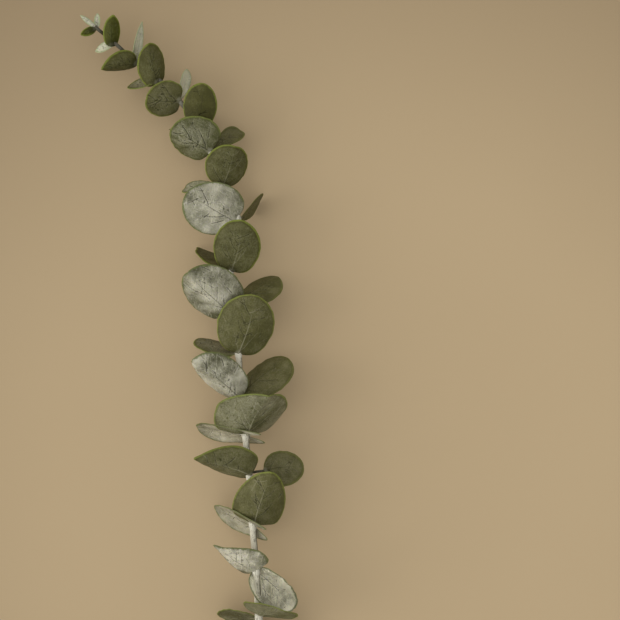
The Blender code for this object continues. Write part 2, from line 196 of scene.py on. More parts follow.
# Each leaf: its look, then as in the solid model where its blade starts, its side of the
# stem, heading, lift, length, half width, fold, roll and the form of its outline
Leaf = namedtuple(
    "Leaf",
    "look x y side heading lift length half fold roll lobe point fullness taper lean",
    defaults=(0.0, 0.0),
)
UP = 1
DOWN = -1
LEAVES = [Leaf(*row) for row in (
    ("silver", -30.6, -213.0, UP, -62, 28, 34.0, 17.0, -14, -34, 0.06, 0.03, 0.88),
    ("olive", -29.4, -214.0, DOWN, 78, -34, 34.0, 16.0, 8, 40, 0.05, 0.02, 0.9),
    ("grey", -30.6, -183.6, UP, 62, 58, 32.0, 16.6, -6, 44, 0.04, 0.03, 0.9),
    ("grey", -31.4, -186.0, DOWN, -102, -40, 28.6, 16.0, 8, -46, 0.06, 0.0, 0.9),
    ("white", -33.6, -156.6, UP, -53, 25, 27.0, 15.5, -12, -48, 0.12, 0.20, 0.78, 0.6, 0.06),
    ("shaded_white", -34.0, -156.0, DOWN, 138, -20, 37.0, 14.2, 35, 0, 0.04, 0.03, 0.9),
    ("olive", -33.5, -128.0, UP, 19, 25, 37.2, 17.0, -20, 8, 0.06, 0.02, 0.66, 0.15),
    ("dusty", -34.2, -129.6, DOWN, -70, -36, 31.0, 12.5, 10, -52, 0.46, 0.04, 1.15, 0.45, -0.08),
    ("olive", -35.2, -98.6, UP, -72, 18, 34.8, 15.2, -24, -40, 0.07, 0.06, 0.82, 0.45),
    ("matt", -27.6, -96.4, DOWN, 87, -18, 25.0, 10.9, 10, -12, 0.0, 0.0, 0.85),
    ("grey", -37.6, -74.6, UP, 29, 36, 34.0, 24.0, -22, 30, 0.18, 0.01, 0.8, 0.25, 0.09),
    ("pale_dusty", -37.8, -75.2, DOWN, -84, -28, 36.0, 11.5, 6, -58, 0.38, -0.02, 1.1, 0.2, -0.05),
    ("silver", -41.8, -52.4, UP, -51, 18, 37.0, 15.8, -27, -31, 0.07, 0.02, 0.88, 0.25, 0.08),
    ("matt", -41.4, -50.6, DOWN, 54, -14, 36.6, 14.4, -8, -45, 0.03, 0.0, 1.12),
    ("olive", -43.0, -26.0, UP, 17, 16, 37.0, 17.8, -14, 8, 0.04, 0.02, 0.92),
    ("grey", -44.2, -26.4, DOWN, -70, -38, 33.0, 13.0, -4, 70, 0.05, 0.0, 0.88),
    ("silver", -49.2, -0.4, UP, -46, 22, 35.0, 18.2, -20, -20, 0.09, 0.0, 0.76),
    ("matt", -46.8, 2.0, DOWN, 57, -19, 35.0, 12.2, -10, -48, 0.0, 0.0, 1.2),
    ("dark", -47.2, 23.4, UP, 13, 20, 32.0, 14.4, -10, -2, 0.04, 0.02, 0.92),
    ("dark", -47.8, 24.6, DOWN, -57, -44, 33.0, 12.0, 0, 68, 0.05, 0.1, 0.8),
    ("silver", -45.6, 53.4, UP, -58, 14, 33.0, 16.8, -8, -3, 0.03, 0.01, 0.85, 0.0, -0.08),
    ("matt", -42.2, 54.8, DOWN, 41, -54, 30.0, 8.6, 3, 78, 0.0, -0.02, 1.5),
    ("dark", -52.8, 74.8, UP, 20, 22, 26.0, 14.2, -20, 22, 0.04, 0.0, 0.92),
    ("frosted", -53.0, 75.6, DOWN, -93, -25, 27.0, 6.8, 4, 54, 0.0, -0.03, 1.8),
    ("frosted", -60.0, 96.0, UP, -58, 20, 27.4, 15.8, -14, -31, 0.05, 0.0, 0.80),
    ("matt", -59.8, 95.8, DOWN, 51, -24, 24.8, 7.0, 8, -32, 0.0, -0.02, 1.7),
    ("mossy", -67.8, 111.0, UP, 8, 18, 26.0, 10.3, -10, 2, 0.04, 0.01, 0.92),
    ("matt", -68.4, 111.0, DOWN, -82, -58, 26.0, 11.0, 10, 60, 0.05, 0.02, 0.9),
    ("dull", -78.6, 126.6, UP, -90, 20, 21.0, 11.8, -17, -19, 0.08, 0.0, 0.84, 0.0, -0.08),
    ("tip", -79.6, 127.2, DOWN, 14, -30, 23.5, 4.7, 8, 56, 0.0, 0.0, 1.3),
    ("mossy", -92.4, 137.6, UP, -12, 18, 23.5, 9.9, -22, 22, 0.08, 0.02, 0.92, 0.0, 0.08),
    ("grey", -92.0, 139.2, DOWN, -96, -28, 22.0, 6.8, 5, 54, 0.0, 0.02, 1.0),
    ("mossy", -105.0, 149.4, UP, -103, 20, 21.0, 9.2, -28, -50, 0.04, 0.06, 0.88, 0.3),
    ("tip", -106.6, 149.6, DOWN, 8, -16, 26.4, 3.9, 8, 50, 0.0, 0.08, 0.85, 0.35),
    ("young", -120.4, 160.2, UP, 6, 18, 17.8, 5.6, -20, 20, 0.04, 0.05, 0.92),
    ("tip", -119.0, 162.0, DOWN, -107, -25, 13.4, 4.0, 10, 36, 0.03, 0.06, 0.92),
    ("young", -130.2, 171.4, UP, -118, 15, 9.5, 2.6, -15, 0, 0.0, 0.08, 0.95),
    ("tip", -129.6, 171.6, DOWN, 0, -15, 9.0, 1.9, 15, 0, 0.0, 0.08, 0.95),
    ("tip", -130.4, 172.0, UP, -53, 10, 10.5, 1.5, -10, 0, 0.0, 0.08, 0.95),
)]

# What each kind of leaf looks like: how much pale wax covers it, its green under the wax,
# the wax, its edge, how dark its engraved veins are, how pale its midrib line is, how high
# (+) or deep (-) the midrib is, how far the blade puffs up between its veins and how much
# it is crumpled, in millimetres, and how many loose creases it has
Look = namedtuple("Look", "bloom green wax rim veins pale_rib rib_height puff crumple creases")
LOOKS = {
    "white": Look(
        0.80, (0.110, 0.108, 0.052), (0.66, 0.63, 0.50), (0.130, 0.150, 0.042),
        0.64, 0.0, -0.18, 0.42, 1.0, 12,
    ),
    "silver": Look(
        0.66, (0.090, 0.090, 0.038), (0.52, 0.50, 0.39), (0.125, 0.150, 0.036),
        0.60, 0.0, -0.18, 0.42, 1.05, 16,
    ),
    "frosted": Look(
        0.22, (0.088, 0.090, 0.030), (0.56, 0.54, 0.40), (0.160, 0.190, 0.040),
        0.90, 0.0, -0.14, 0.30, 0.60, 12,
    ),
    "dusty": Look(
        0.66, (0.092, 0.090, 0.040), (0.42, 0.397, 0.295), (0.140, 0.160, 0.045),
        0.66, 0.0, -0.12, 0.30, 0.60, 10,
    ),
    "grey": Look(
        0.20, (0.092, 0.091, 0.032), (0.44, 0.42, 0.30), (0.170, 0.200, 0.042),
        0.80, 0.7, 0.12, 0.18, 0.34, 6,
    ),
    "olive": Look(
        0.08, (0.088, 0.084, 0.025), (0.36, 0.34, 0.23), (0.180, 0.205, 0.040),
        0.80, 0.55, 0.10, 0.12, 0.22, 4,
    ),
    "matt": Look(
        0.07, (0.096, 0.090, 0.029), (0.32, 0.30, 0.20), (0.130, 0.135, 0.035),
        0.55, 0.0, -0.08, 0.10, 0.16, 3,
    ),
    "dark": Look(
        0.03, (0.070, 0.067, 0.016), (0.32, 0.31, 0.20), (0.175, 0.205, 0.034),
        0.60, 0.3, 0.10, 0.08, 0.15, 2,
    ),
    "young": Look(
        0.0, (0.060, 0.064, 0.006), (0.30, 0.30, 0.20), (0.175, 0.215, 0.030),
        0.40, 0.0, -0.05, 0.05, 0.05, 0,
    ),
    "tip": Look(
        0.85, (0.180, 0.190, 0.105), (0.56, 0.56, 0.42), (0.340, 0.390, 0.210),
        0.15, 0.0, -0.05, 0.05, 0.06, 0,
    ),
}
# Looks that differ from another one in a few values
# Paler wax for a white leaf that lies in shade and faces away from the light: painted light that
# makes up for the shade
LOOKS["shaded_white"] = LOOKS["white"]._replace(wax=(0.88, 0.85, 0.68))
LOOKS["pale_dusty"] = LOOKS["dusty"]._replace(wax=(0.55, 0.52, 0.39))
LOOKS["dull"] = LOOKS["olive"]._replace(veins=0.9, pale_rib=0.0, rib_height=-0.12, creases=8)
LOOKS["mossy"] = LOOKS["dark"]._replace(veins=0.6, pale_rib=0.0, rib_height=-0.08)


# Shapes shared with the solid model

def rest_on_table(heights, half_thickness):
    """Heights that would lie below the table are moved onto it, with a soft bend."""
    blend = 0.8
    above = heights - half_thickness
    eased = (above + blend) ** 2 / (4 * blend)
    settled = np.where(above > blend, above, np.where(above < -blend, 0.0, eased))
    return settled + half_thickness


def smooth_path(points, step):
    padded = np.vstack([2 * points[0] - points[1], points, 2 * points[-1] - points[-2]])
    rows = []
    for index in range(len(points) - 1):
        before, start, end, after = padded[index : index + 4]
        count = max(2, round(np.linalg.norm((end - start)[:3]) / step))
        for part in np.arange(count) / count:
            cubic = 3 * start - 3 * end + after - before
            square = 2 * before - 5 * start + 4 * end - after
            linear = end - before
            rows.append(0.5 * (2 * start + linear * part + square * part**2 + cubic * part**3))
    rows.append(points[-1])
    return np.array(rows)


def leaf_axes(leaf):
    """Directions along the midrib, across the blade and out of its face."""
    heading, lift, roll = (math.radians(v) for v in (leaf.heading, leaf.lift, leaf.roll))
    east, north = math.sin(heading), math.cos(heading)
    along = np.array([east * math.cos(lift), north * math.cos(lift), math.sin(lift)])
    face = np.array([-east * math.sin(lift), -north * math.sin(lift), math.cos(lift)])
    across = np.cross(along, face)
    rolled_face = face * math.cos(roll) + across * math.sin(roll)
    rolled_across = across * math.cos(roll) - face * math.sin(roll)
    return along, rolled_across, rolled_face


def outline(leaf, part, side):
    """How far the edge has come along the midrib and away from it, from 0 to 1."""
    away = np.abs(np.sin(math.pi * part**leaf.fullness)) ** OUTLINE_ROUNDNESS
    away = away * (1 - leaf.taper * part) / (1 - TAPER_BALANCE * leaf.taper)
    along = (1 - np.cos(math.pi * part)) / 2
    along = along - leaf.lobe * np.sin(math.pi * np.clip(part / LOBE_END, 0, 1)) ** 1.5
    along = along + leaf.point * np.exp(-(((1 - part) / POINT_REACH) ** 2))
    along = along + leaf.lean * side * away
    return along, away


def flat_place(leaf, part, column, side):
    """Millimetres along the midrib and away from it, on the flattened blade."""
    edge_along, edge_away = outline(leaf, part, side)
    vein_start = part**VEIN_SWEEP * (1 + leaf.point)
    along = (vein_start + (edge_along - vein_start) * column**VEIN_BOW) * leaf.length
    away = edge_away * column * leaf.half
    return along, away


def blade_point(leaf, part, column, side, phase):
    """Places on the folded and cupped blade, measured from where it starts."""
    along, away = flat_place(leaf, part, column, side)
    turn = np.radians(leaf.fold) * (1 + CUPPING * (column - 0.5))
    wave = np.sin(EDGE_TURNS * math.pi * part + phase + side)
    wave = EDGE_WAVE * leaf.half / MEDIUM_HALF_WIDTH * wave
    rise = away * np.sin(turn) + wave * column**2 * np.sin(math.pi * part)
    axes = leaf_axes(leaf)
    return (
        np.multiply.outer(along, axes[0])
        + np.multiply.outer(side * away * np.cos(turn), axes[1])
        + np.multiply.outer(rise, axes[2])
    )


def blade_base(leaf, path):
    stem = path[np.argmin(np.abs(path[:, 1] - leaf.y))]
    return np.array([leaf.x, leaf.y, stem[2] + leaf.side * BASE_OFFSET * stem[3]])


def nearest_stem_point(path, place):
    return path[np.argmin(np.linalg.norm(path[:, :3] - place, axis=1))]


def has_stalk(leaf, path):
    base = blade_base(leaf, path)
    stem = nearest_stem_point(path, base)
    return np.linalg.norm(base - stem[:3]) > SEATED * stem[3]


# Fine meshes

def settle_normals(mesh):
    editable = bmesh.new()
    editable.from_mesh(mesh)
    bmesh.ops.recalc_face_normals(editable, faces=editable.faces)
    editable.to_mesh(mesh)
    editable.free()


def put_in_scene(name, data):
    item = bpy.data.objects.new(name, data)
    bpy.context.scene.collection.objects.link(item)
    return item


def mesh_object(name, vertices, faces, attributes, materials, face_slots=None):
    mesh = bpy.data.meshes.new(name)
    places = (vertices + np.array(CENTRE_SHIFT)) * MM
    mesh.from_pydata(places.tolist(), [], faces)
    for key, values in attributes.items():
        attribute = mesh.attributes.new(key, "FLOAT", "POINT")
        attribute.data.foreach_set("value", np.asarray(values, np.float32))
    for material in materials:
        mesh.materials.append(material)
    if face_slots is not None:
        mesh.polygons.foreach_set("material_index", face_slots)
    mesh.shade_smooth()
    mesh.update()
    settle_normals(mesh)
    return put_in_scene(name, mesh)


def dress(piece):
    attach(piece, "root")
    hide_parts("leafy_stem")


def grid_normals(points, face):
    """Unit normals of a grid of points, on the side that the blade's face looks to."""
    down = np.gradient(points, axis=0)
    across = np.gradient(points, axis=1)
    normals = np.cross(down, across)
    length = np.linalg.norm(normals, axis=2, keepdims=True)
    normals = normals / np.maximum(length, 1e-9)
    return normals * np.sign(np.sum(normals * face, axis=2, keepdims=True))


def ripple(values, draw, waves, size):
    """Smooth random wobble along 0 to 1, zero mean, the same each run."""
    total = np.zeros_like(values)
    for wave in waves:
        total += draw.normal(0, 1) * np.sin(2 * math.pi * (wave * values + draw.uniform()))
    return size * total / math.sqrt(len(waves))


def crumple(grid, draw, lengths):
    """Smooth random hills over a flattened blade, about 1 high, with these wave lengths."""
    total = np.zeros_like(grid.along)
    for length in lengths:
        turn = draw.uniform(0, math.pi)
        way = math.cos(turn) * grid.along + math.sin(turn) * grid.across
        total += np.sin(2 * math.pi * (way / length + draw.uniform()))
    return total / math.sqrt(len(lengths))


def bent_line(start, turn, reach, draw):
    """A line over the flattened blade that starts at an angle to the midrib, bends a little
    towards the tip and wanders."""
    points = [np.array(start)]
    for _ in range(LINE_PARTS):
        step = reach / LINE_PARTS * np.array([math.cos(turn), math.sin(turn)])
        points.append(points[-1] + step)
        turn = turn * draw.uniform(*ANGLE_KEPT) + draw.normal(0, LINE_WANDER)
    return points


def side_veins(leaf, side, draw):
    """Lines of the side veins on one half of the flattened blade, some forked."""
    lines = []
    start = draw.uniform(*FIRST_VEIN) * leaf.length
    while start < LAST_VEIN * leaf.length:
        turn = side * draw.uniform(*VEIN_ANGLES)
        reach = draw.uniform(*VEIN_REACH) * leaf.half
        line = bent_line((start, 0.0), turn, reach, draw)
        lines.append(line)
        if draw.uniform() < FORKED_VEINS:
            fork = turn + side * draw.choice(FORK_TURNS)
            lines.append(bent_line(line[2], fork, FORK_REACH * reach, draw))
        start += draw.uniform(*VEIN_SPACING) * leaf.length
    return lines


def loose_creases(leaf, draw):
    """Short lines on the flattened blade that start anywhere, at any angle."""
    lines = []
    for _ in range(LOOKS[leaf.look].creases):
        start = draw.uniform((0.15, -0.7), (0.8, 0.7)) * (leaf.length, leaf.half)
        reach = draw.uniform(*CREASE_REACH) * leaf.half
        lines.append(bent_line(start, draw.uniform(*CREASE_ANGLES), reach, draw))
    return lines


def pinprick(leaf, draw):
    """A small dark mark somewhere on the middle of the blade."""
    place = draw.uniform((0.3, -0.4), (0.65, 0.4)) * (leaf.length, leaf.half)
    return bent_line(place, draw.uniform(*CREASE_ANGLES), PINPRICK_LENGTH, draw)


def line_distance(grid, line, strength):
    """Distance from a line in millimetres, larger where it thins out and if it is weak."""
    nearest = np.full(grid.along.shape, FAR)
    for index in range(len(line) - 1):
        start, end = line[index : index + 2]
        step = end - start
        along = grid.along - start[0]
        across = grid.across - start[1]
        part = np.clip((along * step[0] + across * step[1]) / np.dot(step, step), 0, 1)
        gap = np.hypot(along - part * step[0], across - part * step[1])
        thinning = 1 + LINE_THINNING * (index + part) / (len(line) - 1)
        nearest = np.minimum(nearest, gap * thinning / strength)
    return nearest


def vein_distances(leaf, grid, draw):
    """Distance from the nearest dark groove and from the nearest pale ridge."""
    groove = np.full(grid.along.shape, FAR)
    ridge = np.full(grid.along.shape, FAR)
    lines = side_veins(leaf, -1, draw) + side_veins(leaf, 1, draw) + loose_creases(leaf, draw)
    for line in lines:
        distance = line_distance(grid, line, draw.uniform(*LINE_STRENGTHS))
        if draw.uniform() < GROOVED_LINES:
            groove = np.minimum(groove, distance)
        else:
            ridge = np.minimum(ridge, distance)
    if leaf.half > SMALL_HALF_WIDTH and draw.uniform() < PRICKED_LEAVES:
        prick = line_distance(grid, pinprick(leaf, draw), PINPRICK_STRENGTH)
        groove = np.minimum(groove, prick)
    return groove, ridge


# Points of a blade: base to tip and midrib to edge from 0 to 1, the side as -1 or 1, then
# millimetres along, away from and across the midrib, and the scale of the leaf's details
BladeGrid = namedtuple("BladeGrid", "part column side along away across size")


def blade_places(leaf):
    rows = max(24, round(leaf.length / ROW_STEP))
    columns = max(8, round(leaf.half / COLUMN_STEP))
    part = np.linspace(0, 1, rows + 1)[1:-1, None]
    signed = np.linspace(-1, 1, 2 * columns + 1)[None, :]
    column = np.abs(signed) ** COLUMN_EASE
    side = np.where(signed < 0, -1.0, 1.0)
    part, column, side = (np.array(v) for v in np.broadcast_arrays(part, column, side))
    along, away = flat_place(leaf, part, column, side)
    size = leaf.half / MEDIUM_HALF_WIDTH
    return BladeGrid(part, column, side, along, away, away * side, size)


def rim_distance(leaf, grid):
    """Rough distance from the edge of the blade, in millimetres."""
    edge_along, edge_away = outline(leaf, grid.part, grid.side)
    vein_start = grid.part**VEIN_SWEEP * (1 + leaf.point)
    reach = np.hypot((edge_along - vein_start) * leaf.length, edge_away * leaf.half)
    return (1 - grid.column) * reach


def midrib_distance(leaf, grid, draw):
    """Distance from the midrib, which bends a little to one side."""
    bend = draw.choice((-1, 1)) * draw.uniform(*RIB_BEND) * leaf.length
    return grid.across - bend * np.sin(math.pi * np.clip(grid.along / leaf.length, 0, 1))


def midrib_height(leaf, grid, rib):
    """Height of the midrib on both faces, lower towards the tip."""
    line = np.exp(-((rib / (RIB_WIDTH * grid.size)) ** 2)) * (1 - grid.part) ** 0.6
    return LOOKS[leaf.look].rib_height * grid.size * line


def soft_fold(leaf, grid, rib):
    """Height that turns the sharp fold into a soft one along the curved midrib."""
    soft = np.hypot(rib, FOLD_SOFTNESS) - FOLD_SOFTNESS
    turn = np.radians(leaf.fold) * (1 + CUPPING * (grid.column - 0.5))
    return (soft - grid.away) * np.sin(turn) * (1 - grid.column**2)


def edge_ripple(leaf, grid, draw):
    """Small waves of the outline, in the plane of the blade."""
    wave = ripple(grid.part + 0.5 * grid.side, draw, EDGE_RIPPLES, EDGE_RIPPLE_SIZE)
    wave = wave * grid.column**3 * np.sin(math.pi * grid.part) * leaf.half
    return wave * grid.side


def relief_height(leaf, grid, groove, ridge, draw):
    """Waves near the edge, puffs between the lines, crumples, cut grooves, raised ridges."""
    look = LOOKS[leaf.look]
    wave = ripple(grid.part + 0.37 * grid.side, draw, RUFFLES, RUFFLE_HEIGHT * grid.size)
    wave = wave * grid.column**4 * np.sin(math.pi * grid.part)
    inner = 1 - grid.column**6
    fade = np.clip(grid.away / (RIB_FLAT * grid.size), 0, 1) * inner
    puff = np.clip(np.minimum(groove, ridge) / (PUFF_REACH * grid.size), 0, 1) ** 0.6
    hills = crumple(grid, draw, grid.size * np.array(HILL_LENGTHS))
    lift = wave + grid.size * fade * (look.puff * (puff - 0.6) + look.crumple * 0.5 * hills)
    raised = RIDGE_HEIGHT * np.exp(-((ridge / RIDGE_WIDTH) ** 2))
    cut = raised - np.exp(-((groove / GROOVE_WIDTH) ** 2))
    return lift + GROOVE_DEPTH * look.veins * inner * cut


def blade_grid(leaf, base, phase, draw):
    """Middle surface of one blade, its normals, the height of its midrib and its details."""
    grid = blade_places(leaf)
    _, across, face = leaf_axes(leaf)
    points = base + blade_point(leaf, grid.part, grid.column, grid.side, phase)
    points = points + edge_ripple(leaf, grid, draw)[..., None] * across
    groove, ridge = vein_distances(leaf, grid, draw)
    lift = relief_height(leaf, grid, groove, ridge, draw)
    rib = midrib_distance(leaf, grid, draw)
    points = points + soft_fold(leaf, grid, rib)[..., None] * face
    normals = grid_normals(points, face)
    points = points + normals * lift[..., None]
    details = {
        "along": grid.along,
        "away": grid.across,
        "part": grid.part,
        "rib": rib,
        "groove": groove,
        "ridge": ridge,
        "rim": rim_distance(leaf, grid),
        "heel": np.hypot(grid.along, grid.away),
    }
    return points, normals, midrib_height(leaf, grid, rib), details


def blade_thickness(leaf, details):
    """Thin at the edge, and thick where the blade grows out of the stem."""
    taper = np.clip(details["rim"] / RIM_TAPER, 0, 1)
    thickness = RIM_THICKNESS + (BLADE_THICKNESS - RIM_THICKNESS) * taper
    root = np.exp(-((details["along"] / ROOT_LENGTH) ** 2 + (details["away"] / ROOT_WIDTH) ** 2))
    share = min(1, leaf.half / ROOT_HALF_WIDTH)
    return thickness + (ROOT_THICKNESS - BLADE_THICKNESS) * root * share


def blade_piece(name, leaf, path, phase, draw, material):
    base = blade_base(leaf, path)
    points, normals, rib, details = blade_grid(leaf, base, phase, draw)
    points[..., 2] = rest_on_table(points[..., 2], BLADE_THICKNESS / 2)
    half = normals * blade_thickness(leaf, details)[..., None] / 2
    raised = normals * rib[..., None]
    upper = points + half + raised
    lower = points - half - np.abs(raised) * normals
    tip = base + blade_point(leaf, 1.0, 0.0, 1, phase)
    tip[2] = max(tip[2], BLADE_THICKNESS / 2)
    return sewn_blade(name, leaf, upper, lower, (base, tip), details, material)


def rim_points(upper, lower, edge, inner):
    """Points a little outside one edge of the blade, which round it off."""
    middle = (upper + lower) / 2
    out = middle[:, edge] - middle[:, inner]
    out = out / np.maximum(np.linalg.norm(out, axis=1, keepdims=True), 1e-9)
    return middle[:, edge] + 0.5 * RIM_THICKNESS * out


def sewn_details(leaf, details):
    """The grid's details for every vertex: both faces, the ends of both, then the edges."""
    at_ends = {"part": (0, 1), "along": (0, leaf.length), "heel": (0, leaf.length)}
    sewn = {}
    for key, values in details.items():
        face = values.ravel()
        ends = at_ends.get(key, (0, 0))
        sewn[key] = np.concatenate([face, face, ends, ends, values[:, 0], values[:, -1]])
    return sewn


def sewn_blade(name, leaf, upper, lower, ends, details, material):
    """Both faces of a blade, sewn together round its edge into one closed mesh."""
    rows, width = upper.shape[:2]
    normal = leaf_axes(leaf)[2] * BLADE_THICKNESS / 2
    top_ends = np.array([ends[0] + normal, ends[1] + 0.6 * normal])
    low_ends = np.array([ends[0] - normal, ends[1] - 0.6 * normal])
    left = rim_points(upper, lower, 0, 1)
    right = rim_points(upper, lower, -1, -2)
    faces_of_blade = [upper.reshape(-1, 3), lower.reshape(-1, 3)]
    vertices = np.vstack([*faces_of_blade, top_ends, low_ends, left, right])
    vertices[:, 2] = np.maximum(vertices[:, 2], 0.0)
    faces = blade_faces(rows, width, rows * width)
    return mesh_object(name, vertices, faces, sewn_details(leaf, details), [material])


def blade_faces(rows, width, count):
    """Faces between rows a and b and columns c and d, then round the edge and the ends."""
    def at(row, column, below=0):
        return below * count + row * width + column

    top_base, top_tip, low_base, low_tip = range(2 * count, 2 * count + 4)
    left = 2 * count + 4
    right = left + rows
    last = width - 1
    final = rows - 1
    faces = []
    for a in range(final):
        b = a + 1
        for c in range(last):
            d = c + 1
            faces.append((at(a, c), at(a, d), at(b, d), at(b, c)))
            faces.append((at(a, c, 1), at(b, c, 1), at(b, d, 1), at(a, d, 1)))
        faces.append((at(a, 0), at(b, 0), left + b, left + a))
        faces.append((left + a, left + b, at(b, 0, 1), at(a, 0, 1)))
        faces.append((at(b, last), at(a, last), right + a, right + b))
        faces.append((right + b, right + a, at(a, last, 1), at(b, last, 1)))
    for c in range(last):
        d = c + 1
        faces.append((top_base, at(0, d), at(0, c)))
        faces.append((low_base, at(0, c, 1), at(0, d, 1)))
        faces.append((top_tip, at(final, c), at(final, d)))
        faces.append((low_tip, at(final, d, 1), at(final, c, 1)))
    faces += end_faces(top_base, low_base, at(0, 0), at(0, 0, 1), left)
    faces += end_faces(low_base, top_base, at(0, last, 1), at(0, last), right)
    faces += end_faces(low_tip, top_tip, at(final, 0, 1), at(final, 0), left + final)
    faces += end_faces(top_tip, low_tip, at(final, last), at(final, last, 1), right + final)
    return faces


def end_faces(first, second, upper, lower, rim):
    """The narrow strip that closes the edge at a blade's base or tip."""
    return [(first, upper, rim), (first, rim, second), (second, rim, lower)]


def ring_frame(direction):
    side = np.cross(direction, (0.0, 0.0, 1.0))
    side = side / np.linalg.norm(side)
    return side, np.cross(side, direction)


def corner_angles(count, sides):
    """Angle round the tube of each of its vertices, ring after ring."""
    return (np.arange(count) % sides) * 2 * math.pi / sides


def tube_rings(path, radii, sides, relief=None):
    directions = np.gradient(path, axis=0)
    angles = corner_angles(sides, sides)
    rings = []
    for index, (place, direction) in enumerate(zip(path, directions)):
        side, up = ring_frame(direction / np.linalg.norm(direction))
        radius = radii[index] * np.ones(sides)
        if relief is not None:
            radius = radius + relief[index]
        circle = np.outer(np.cos(angles), side) + np.outer(np.sin(angles), up)
        rings.append(place + radius[:, None] * circle)
    return np.array(rings)


def tube_faces(rings, sides):
    faces = []
    for ring in range(rings - 1):
        for corner in range(sides):
            after = (corner + 1) % sides
            low = ring * sides
            high = low + sides
            faces.append((low + corner, high + corner, high + after, low + after))
    return faces


def bark_relief(path, radii):
    """Wrinkles along the stem, small knots, and scars where leaves have dropped."""
    draw = np.random.default_rng(LOOK_SEED + 1)
    angles = corner_angles(STEM_SIDES, STEM_SIDES)
    length = np.arange(len(path))
    relief = np.zeros((len(path), STEM_SIDES))
    for wave in FURROW_WAVES:
        drift = ripple(length / len(path), draw, FURROW_DRIFTS, FURROW_SWAY)
        turns = wave * angles[None, :] + drift[:, None] + draw.uniform(0, 2 * math.pi)
        relief += FURROW_DEPTH * draw.normal(0, 1) * np.cos(turns) * radii[:, None]
    knots = np.convolve(draw.normal(0, 1, len(path)), np.ones(3) / 3, "same")
    relief += KNOT_DEPTH * knots[:, None]
    return relief + SCAR_HEIGHT * scars(path)


def scars(path):
    """1 on a leaf scar's rim and lower inside it, on two sides of each bare node."""
    angles = corner_angles(STEM_SIDES, STEM_SIDES)
    total = np.zeros((len(path), STEM_SIDES))
    for number, node in enumerate(BARE_NODES):
        along = (path[:, 1] - node) / SCAR_LENGTH
        for middle in (0.5 * math.pi * number, 0.5 * math.pi * number + math.pi):
            turn = np.angle(np.exp(1j * (angles - middle))) / SCAR_TURN
            distance = np.hypot(along[:, None], turn[None, :])
            total += np.exp(-(((distance - 0.8) / 0.4) ** 2))
    return total


def collar(heights):
    """1 at each pair of leaves and lower away from it."""
    nodes = np.array([leaf.y for leaf in LEAVES])
    away = np.abs(heights[:, None] - nodes[None, :])
    return np.exp(-((away.min(axis=1) / COLLAR_REACH) ** 2))


def tipwards(height):
    """0 on the pale lower stem to 1 on the dusky one near the growing tip."""
    return np.clip((height - DUSKY_FROM) / DUSKY_RANGE, 0, 1)


def stem_radii(path):
    """Radii of the stem, swollen at each pair of leaves and more so at the bare nodes."""
    radii = path[:, 3].copy()
    for node in [leaf.y for leaf in LEAVES] + 2 * list(BARE_NODES):
        away = np.abs(path[:, 1] - node)
        radii *= 1 + NODE_SWELLING / 2 * np.exp(-((away / NODE_SWELLING_LENGTH) ** 2))
    return radii


def stem_details(body, path, radii):
    """Values at the stem's vertices that its bark is coloured by."""
    count = len(body.vertices)
    on_rings = len(path) * STEM_SIDES
    ring_of = np.minimum(np.arange(count) // STEM_SIDES, len(path) - 1)
    ring_of[on_rings : body.bud_start] = 0
    angle = corner_angles(count, STEM_SIDES)
    steps = np.linalg.norm(np.diff(path[:, :3], axis=0), axis=1)
    travel = np.concatenate([[0], np.cumsum(steps)])
    scar = np.zeros(count)
    scar[:on_rings] = scars(path).ravel()
    return {
        "round_x": np.cos(angle) * radii[ring_of],
        "round_y": np.sin(angle) * radii[ring_of],
        "travel": travel[ring_of],
        "collar": collar(path[ring_of, 1]),
        "tipwards": tipwards(path[ring_of, 1]),
        "scar": scar,
        # 1 on the stem's right side, away from the light, where its shade is painted
        "shaded_side": np.cos(angle),
    }


def stem_piece(bark, wood):
    path = smooth_path(np.array(STEM), STEM_RING_STEP)
    radii = stem_radii(path)
    rings = tube_rings(path[:, :3], radii, STEM_SIDES, bark_relief(path, radii))
    rings[0, :, 1] += CUT_SLANT * (rings[0, :, 2] - STEM[0].z) / STEM[0].radius
    body = Body(rings.reshape(-1, 3), tube_faces(len(rings), STEM_SIDES))
    close_cut_end(body, rings[0])
    close_bud(body, path, rings)
    body.vertices[:, 2] = np.maximum(body.vertices[:, 2], 0.0)
    details = stem_details(body, path, radii)
    return mesh_object("stem", body.vertices, body.faces, details, [bark, wood], body.slots)


class Body:
    """Growing lists of a mesh's vertices, faces and material slots."""

    def __init__(self, vertices, faces):
        self.vertices = vertices
        self.faces = faces
        self.slots = [BARK] * len(faces)
        self.bud_start = 0

    def add_ring(self, points):
        first = len(self.vertices)
        self.vertices = np.vstack([self.vertices, points])
        return first

    def bridge(self, outer, inner, slot):
        for corner in range(STEM_SIDES):
            after = (corner + 1) % STEM_SIDES
            self.faces.append((outer + corner, outer + after, inner + after, inner + corner))
            self.slots.append(slot)

    def cap(self, ring, point, slot):
        top = self.add_ring([point])
        for corner in range(STEM_SIDES):
            self.faces.append((ring + corner, ring + (corner + 1) % STEM_SIDES, top))
            self.slots.append(slot)


def close_cut_end(body, start):
    """A bark rim, then wood, then a small soft pith, each ring a little deeper."""
    centre = start.mean(axis=0)
    outer = 0
    for scale, depth in CUT_RINGS:
        inner = body.add_ring(centre + (start - centre) * scale + np.array([0.0, depth, 0.0]))
        body.bridge(outer, inner, BARK if outer == 0 else WOOD)
        outer = inner
    body.cap(outer, centre + np.array([0.0, PITH_DEPTH, 0.0]), WOOD)


def close_bud(body, path, rings):
    """The growing tip closes in a small pointed bud."""
    body.bud_start = len(body.vertices)
    direction = path[-1, :3] - path[-2, :3]
    direction = direction / np.linalg.norm(direction)
    end = path[-1, :3]
    outer = (len(rings) - 1) * STEM_SIDES
    for distance, scale in BUD_RINGS:
        inner = body.add_ring(end + direction * distance + (rings[-1] - end) * scale)
        body.bridge(outer, inner, BARK)
        outer = inner
    body.cap(outer, end + direction * BUD_LENGTH, BARK)


